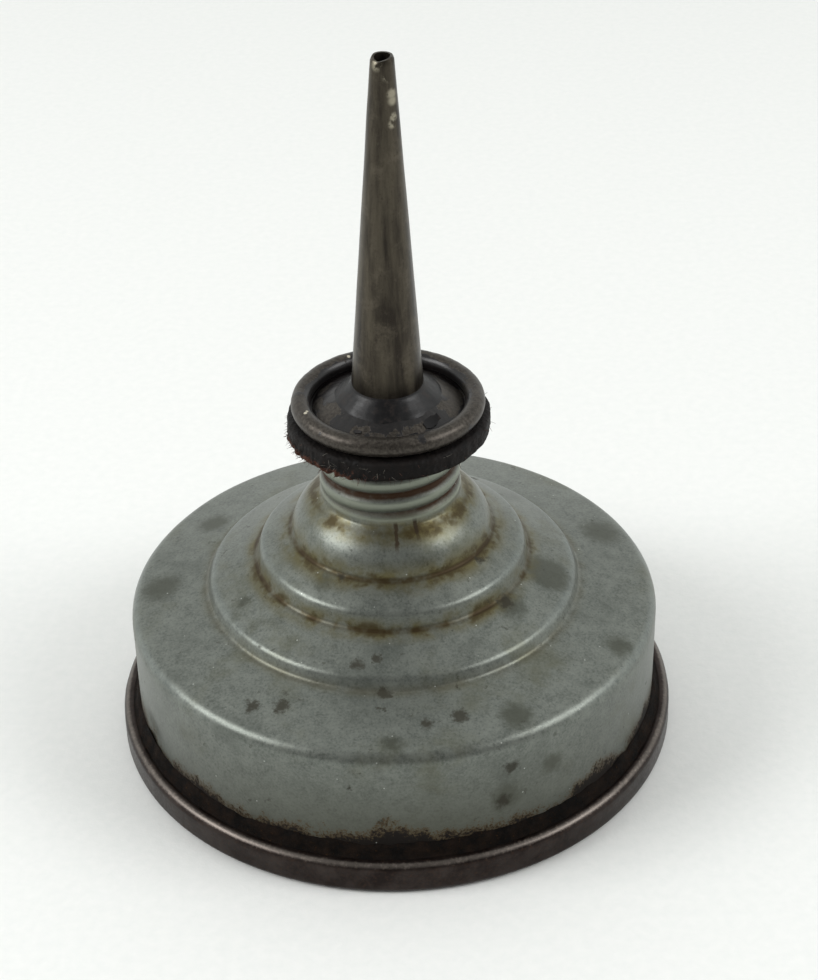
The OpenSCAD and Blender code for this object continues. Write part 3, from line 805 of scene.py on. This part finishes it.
# ---------------------------------------------------------------- can body
def body_shape(a, r, z):
    if z > NECK_LOW_Z:
        r -= thread_cut(a, z)
    # the sheet is never quite true, and the wall has a shallow knock low on its left
    loose = smooth((r - 9) / 6)
    on_deck = smooth((z - 15.5) / 2)
    wave = (0.07 * bump_at(a, z, 16) + 0.025 * bump_at(a, z, 5)) * loose
    above_seam = smooth((z - 3.5) / 3)
    r += wave * (1 - on_deck) * above_seam
    z += wave * on_deck * 0.8
    if z < 15.5:
        knock = math.exp(-(((turned_away(a, KNOCK_ANGLE) / 4.2) ** 2) + ((z - KNOCK_Z) / 1.7) ** 2))
        r -= KNOCK_DEPTH * knock * above_seam
    return round_at(a, r, z)


bm = bmesh.new()
turn_section(
    bm,
    sheet_section(body_outside, SHEET, lambda z: 0.16 if z > NECK_LOW_Z - 1 else 1.1),
    240,
    body_shape,
)
finish_mesh("can_body", bm, steel_body, "can", ["body_shell"])


# ---------------------------------------------------------------- seamed bottom edge
def rim_shape(a, r, z):
    worn = smooth((r - 31.2) / 0.6) * smooth((z - 0.9) / 0.8)
    knocks = 0.06 * bump_at(a, z, 7) + 0.035 * bump_at(a, z, 2.2)
    return round_at(a, r + worn * (knocks - 0.03), z + worn * 0.05 * bump_at(a, 9, 6))


rim_inside = rounded([
    (hook_r - SEAM_GAP, HOOK_LOW - FOLD_R / 4),
    (hook_r - SEAM_GAP, HOOK_HIGH + FOLD_R, FOLD_R, 0.499),
    (RIM_R - SHEET, HOOK_HIGH + FOLD_R, FOLD_R, 0.499),
    (RIM_R - SHEET, SHEET, 0.3),
    (CHUCK_R, SHEET, 0.3),
    (CHUCK_R, SHELF_H, SHEET + 0.2),
    (SHELF_R, SHELF_H),
], 8)
bm = bmesh.new()
turn_section(bm, sheet_section(rim_inside, SHEET, 0.7), 240, rim_shape)
finish_mesh("bottom_seam", bm, steel_brown, "can", ["bottom_rim"])


# ---------------------------------------------------------------- seam filler
def filler_shape(a, r, z):
    outside = smooth((r - WALL_R - 0.02) / 0.2)
    caked = 0.10 + 0.16 * bump_at(a, z, 3.0) + 0.10 * bump_at(a, z, 1.0)
    tongues = 0.5 + 0.5 * bump_at(a, 0, 6) + 0.35 * bump_at(a, 0, 1.5)
    climbs = smooth((z - RIM_H - 0.1) / 0.5) * tongues
    return round_at(a, r + outside * caked * 0.8, z + climbs * 0.9)


crest_r, crest_z = RIM_R - SHEET - FOLD_R, HOOK_HIGH
bed = arc(crest_r, crest_z, FOLD_R + SHEET + FILLER_GAP, 165, 110, 8)
filler_section = refine(
    [(WALL_R + 0.01, bed[0][1])]
    + bed
    + [(WALL_R + 0.45, RIM_H + 0.3), (WALL_R + 0.1, RIM_H + 0.9), (WALL_R + 0.01, RIM_H + 1.0)],
    0.22,
)
bm = bmesh.new()
turn_section(bm, filler_section, 420, filler_shape)
finish_mesh("seam_filler", bm, filler_mat, "can", ["seam_solder"], sharp=70)

# ---------------------------------------------------------------- springy bottom
spring_t = 0.35
edge_z = SHELF_H - SHEET
under = rounded([
    (0, edge_z - 1.9),
    (8.5, edge_z - 1.9, 3),
    (SHELF_R - 3.2, edge_z, 4),
    (SHELF_R, edge_z),
])
under = refine(under, 1.0)
bm = bmesh.new()
turn_section(bm, under + beside(under, spring_t)[::-1], 192, closed=False)
bottom = finish_mesh("spring_bottom", bm, steel_spring, None, ["bottom_diaphragm"])
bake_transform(bottom)

# ---------------------------------------------------------------- leather washer
edge = WASHER_T / 4
washer_section = refine(
    [(WASHER_HOLE_R, WASHER_Z)]
    + arc(WASHER_R - edge, WASHER_Z + edge, edge, -90, 0, 8)
    + arc(WASHER_R - edge, WASHER_Z + WASHER_T - edge, edge, 0, 90, 8)
    + [(WASHER_HOLE_R, WASHER_Z + WASHER_T), (WASHER_HOLE_R, WASHER_Z)],
    0.25,
)[:-1]


def torn_at(a, z):
    """How torn the leather is, 0 to 1: worst low down on the left."""
    return smooth(1.15 - turned_away(a, TORN_ANGLE) / 52) * smooth((WASHER_Z + 1.7 - z) / 1.3)


def washer_shape(a, r, z):
    out = smooth((r - 9.2) / 1.4)
    cut = 0.16 * bump_at(a, z, 9) + 0.10 * bump_at(a, z, 2.6) + 0.07 * bump_at(a, z * 2, 1.1)
    rag = torn_at(a, z) * (0.10 + 0.42 * bump_at(a, z * 2, 1.7) + 0.2 * bump_at(a, z * 2, 0.8))
    sag = torn_at(a, z) * 0.35 * abs(bump_at(a, 3, 2.4))
    pinch = smooth((z - WASHER_Z - 1.9) / 0.5) * 0.1
    return round_at(a, r + out * (cut + rag), z - out * (sag + pinch))


bm = bmesh.new()
turn_section(bm, washer_section, 480, washer_shape)
finish_mesh("washer", bm, leather_mat, "washer", ["leather_washer"], sharp=75)

draw = random.Random(11)
bm = bmesh.new()
for k in range(230):
    angle = draw.gauss(224, 30) if k < 170 else draw.uniform(0, 360)
    a, z = math.radians(angle), WASHER_Z + draw.uniform(0.0, 1.1 if k < 170 else 2.0)
    root = washer_shape(a, WASHER_R - 0.35 * (1 - min(1, (z - WASHER_Z) / 0.6)) - 0.12, z)
    way = (math.cos(a) + draw.gauss(0, 0.5), math.sin(a) + draw.gauss(0, 0.5), draw.uniform(-0.9, 0.5))
    hair(bm, root, way, draw.uniform(0.25, 0.8), draw.uniform(0.02, 0.045), draw.uniform(0, 0.2), draw)
leather_hair = lint_fibre("leather_hair", "#5c3828", "#1b1210")
finish_mesh("washer_torn_hairs", bm, leather_hair, "washer")

bm = bmesh.new()
for k in range(34):
    a = math.radians(draw.gauss(255, 22))
    z = WASHER_Z + draw.uniform(0.7, 2.1)
    root = washer_shape(a, WASHER_R - 0.06, z)
    way = (draw.gauss(0, 1) + 0.3 * math.cos(a), draw.gauss(0, 1) + 0.3 * math.sin(a), draw.gauss(0, 1))
    hair(bm, root, way, draw.uniform(0.3, 1.0), draw.uniform(0.012, 0.022), 0.05, draw)
finish_mesh("washer_lint", bm, lint_fibre("pale_lint", "#8d8980", "#5e5a54"), "washer")


# ---------------------------------------------------------------- spout assembly
def spout_at(z):
    return SPOUT_R + (TIP_R - SPOUT_R) * (z - FLOOR_Z) / (SPOUT_TOP_Z - FLOOR_Z)


# the collar's middle is a cone up to the spout; heights at radius r of its underside and top
HOLE_R = spout_at(COLLAR_Z + DISH_RISE) + SPOUT_GAP
DISH_TILT = math.atan2(DISH_RISE, DISH_R - HOLE_R)


def dish_at(r, off=0.0):
    return COLLAR_Z + (DISH_R - r) * math.tan(DISH_TILT) + off / math.cos(DISH_TILT)


def collar_shape(a, r, z):
    on_roll = smooth((z - FLOOR_Z - 0.2) / 0.6)
    worn = 0.035 * bump_at(a, z, 6) + 0.02 * bump_at(a, z, 2)
    return round_at(a, r + on_roll * worn, z + on_roll * worn)


dish = rounded([(HOLE_R, dish_at(HOLE_R)), (DISH_R, COLLAR_Z, 0.9), (COLLAR_R - CURL_R, COLLAR_Z)])
collar_path = dish[:-1] + arc(COLLAR_R - CURL_R, COLLAR_Z + CURL_R, CURL_R, -90, 204, 40)
bm = bmesh.new()
turn_section(bm, sheet_section(collar_path, COLLAR_T, 0.3), 240, collar_shape)
finish_mesh("collar", bm, collar_mat, "spout", ["spout_collar"])


def spout_shape(a, r, z):
    rub = 0.03 * noise.noise(Vector((math.cos(a), math.sin(a), z / 6)))
    near_tip = smooth((z - SPOUT_TOP_Z + 1.3) / 1.2)
    low_side = smooth((math.cos(a - math.radians(232)) + 0.3) / 1.3)
    nick = smooth(1 - turned_away(a, 238) / 42)
    # a knock has left it leaning a little to the right
    lean = SPOUT_LEAN * max(0.0, z - FLOOR_Z - 3) / (SPOUT_TOP_Z - FLOOR_Z - 3)
    r += rub * smooth((SPOUT_TOP_Z - 2 - z) / 4)
    x, y, z = round_at(a, r, z - near_tip * (0.22 * low_side + 0.14 * nick))
    return (x + lean, y, z)


spout_outside = [
    (spout_at(SPOUT_LOW_Z), SPOUT_LOW_Z),
    (spout_at(SPOUT_TOP_Z - 0.3), SPOUT_TOP_Z - 0.3),
    (TIP_R - 0.12, SPOUT_TOP_Z),
]
spout_inside = [
    (OUTLET_R, SPOUT_TOP_Z),
    (OUTLET_R, SPOUT_TOP_Z - OUTLET_LEN),
    (spout_at(SPOUT_TOP_Z - 12) - SPOUT_T, SPOUT_TOP_Z - 12),
    (spout_at(SPOUT_LOW_Z) - SPOUT_T, SPOUT_LOW_Z),
]
bm = bmesh.new()
turn_section(bm, refine(spout_outside, 0.5) + refine(spout_inside, 0.8), 120, spout_shape)
finish_mesh("spout", bm, spout_mat, "spout", ["spout_tube"])


def ferrule_shape(a, r, z):
    closing = smooth((z - NECK_TOP_Z + PITCH / 3) / (PITCH / 3))
    cut = thread_cut(a, z, fade=0)
    return round_at(a, r - cut * (1 - closing) - GROOVE * closing, z)


web_end = HOLE_R + SPOUT_GAP + FERRULE_T * math.sin(DISH_TILT)
ferrule_core = FERRULE_R - GROOVE
ferrule_outside = rounded([
    (FERRULE_R, FERRULE_LOW_Z),
    (FERRULE_R, NECK_TOP_Z),
    (FERRULE_R, dish_at(ferrule_core, -WEB_GAP), 0.6),
    (web_end + GROOVE, dish_at(web_end, -WEB_GAP)),
])
bm = bmesh.new()
turn_section(bm, sheet_section(ferrule_outside, FERRULE_T, 0.16), 120, ferrule_shape)
finish_mesh("ferrule", bm, ferrule_mat, "spout", ["spout_ferrule"])


def mound_shape(a, r, z):
    free = smooth((z - dish_at(r, COLLAR_T)) / 0.15) * smooth((r - SPOUT_R - 0.1) / 0.4)
    lump = 0.08 * bump_at(a, z, 14) + 0.03 * bump_at(a, z, 4)
    skirt = smooth((r - 5) / 0.8) * 0.25 * bump_at(a, 2, 12)
    return round_at(a, r + skirt, dish_at(r + skirt) - dish_at(r) + z + free * lump)


mound_top = dish_at(HOLE_R, COLLAR_T) + MOUND_H
mound = [(spout_at(mound_top - 0.7), dish_at(spout_at(mound_top - 0.7), COLLAR_T) + 0.01)]
for out, lift in ((1, 0.01), (0.85, 0.11), (0.65, 0.22), (0.45, 0.35), (0.25, 0.5), (0.1, 0.65)):
    q = spout_at(mound_top) + (MOUND_R - spout_at(mound_top)) * out
    mound.append((q, dish_at(q, COLLAR_T) + lift))
mound.append((spout_at(mound_top), mound_top))
bm = bmesh.new()
turn_section(bm, refine(mound, 0.12), 200, mound_shape)
draw = random.Random(5)
for where, out, length, width, lift in (
    (312, 6.9, 2.0, 1.0, 0.45),
    (290, 7.6, 1.2, 0.5, 0.12),
    (243, 7.2, 0.9, 0.4, 0.1),
):
    chip(bm, where, out, length, width, lift, draw)
finish_mesh("solder_mound", bm, mound_mat, "spout", ["spout_solder"])

solder_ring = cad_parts["ferrule_solder"]
solder_ring.data.materials.clear()
solder_ring.data.materials.append(solder_mat)

# ---------------------------------------------------------------- floor and light
bm = bmesh.new()
bmesh.ops.create_grid(bm, x_segments=8, y_segments=8, size=3000)
floor = finish_mesh("floor", bm, matt_card(), None)


def soft_light(name, place, aim, width, height, watts, colour="#ffffff"):
    lamp = bpy.data.lights.new(name, "AREA")
    lamp.shape = "RECTANGLE"
    lamp.size, lamp.size_y = width, height
    lamp.energy = watts
    lamp.color = linear(colour)[:3]
    holder = bpy.data.objects.new(name, lamp)
    holder.location = place
    holder.rotation_euler = (Vector(aim) - Vector(place)).to_track_quat("-Z", "Y").to_euler()
    bpy.context.scene.collection.objects.link(holder)


def out_at(angle, height, distance):
    """Place at a bearing and a height angle (degrees) from the neck of the can, metres."""
    a, h = math.radians(angle), math.radians(height)
    return round_at(a, distance * math.cos(h), 0.03 + distance * math.sin(h))


soft_light("left window", out_at(193, 36, 0.8), (0, 0, 0.03), 0.44, 0.36, 3.7)
soft_light("right window", out_at(346, 38, 0.8), (0, 0, 0.03), 0.42, 0.36, 2.6)

# white tent all round, dimmer on the side the viewer stands
world = bpy.data.worlds.new("studio")
world.use_nodes = True
air = world.node_tree
direction = put(air, "VectorMath", {0: put(air, "TexCoord", out=0)}, operation="NORMALIZE")
facing = put(air, "VectorMath", {0: direction, 1: (0, -0.9, 0.436)}, 1, operation="DOT_PRODUCT")
dim = put(air, "MapRange", {0: facing, 1: 0.1, 2: 0.75, 3: 0.0, 4: 1.0}, **SOFT)
low = put(air, "SeparateXYZ", {0: direction}, 2)
low = put(air, "MapRange", {0: low, 1: 0.0, 2: 0.5, 3: 1.25, 4: 1.0})
glow = put(air, "Mix", {0: dim, 6: linear("#f4f6f4"), 7: linear("#8a8a88")}, 2, data_type="RGBA")
glow = put(air, "VectorMath", {0: glow, "Scale": low}, operation="SCALE")
air.links.new(glow, air.nodes["Background"].inputs["Color"])
air.nodes["Background"].inputs["Strength"].default_value = 0.98
bpy.context.scene.world = world
bpy.context.scene.view_settings.view_transform = "Standard"
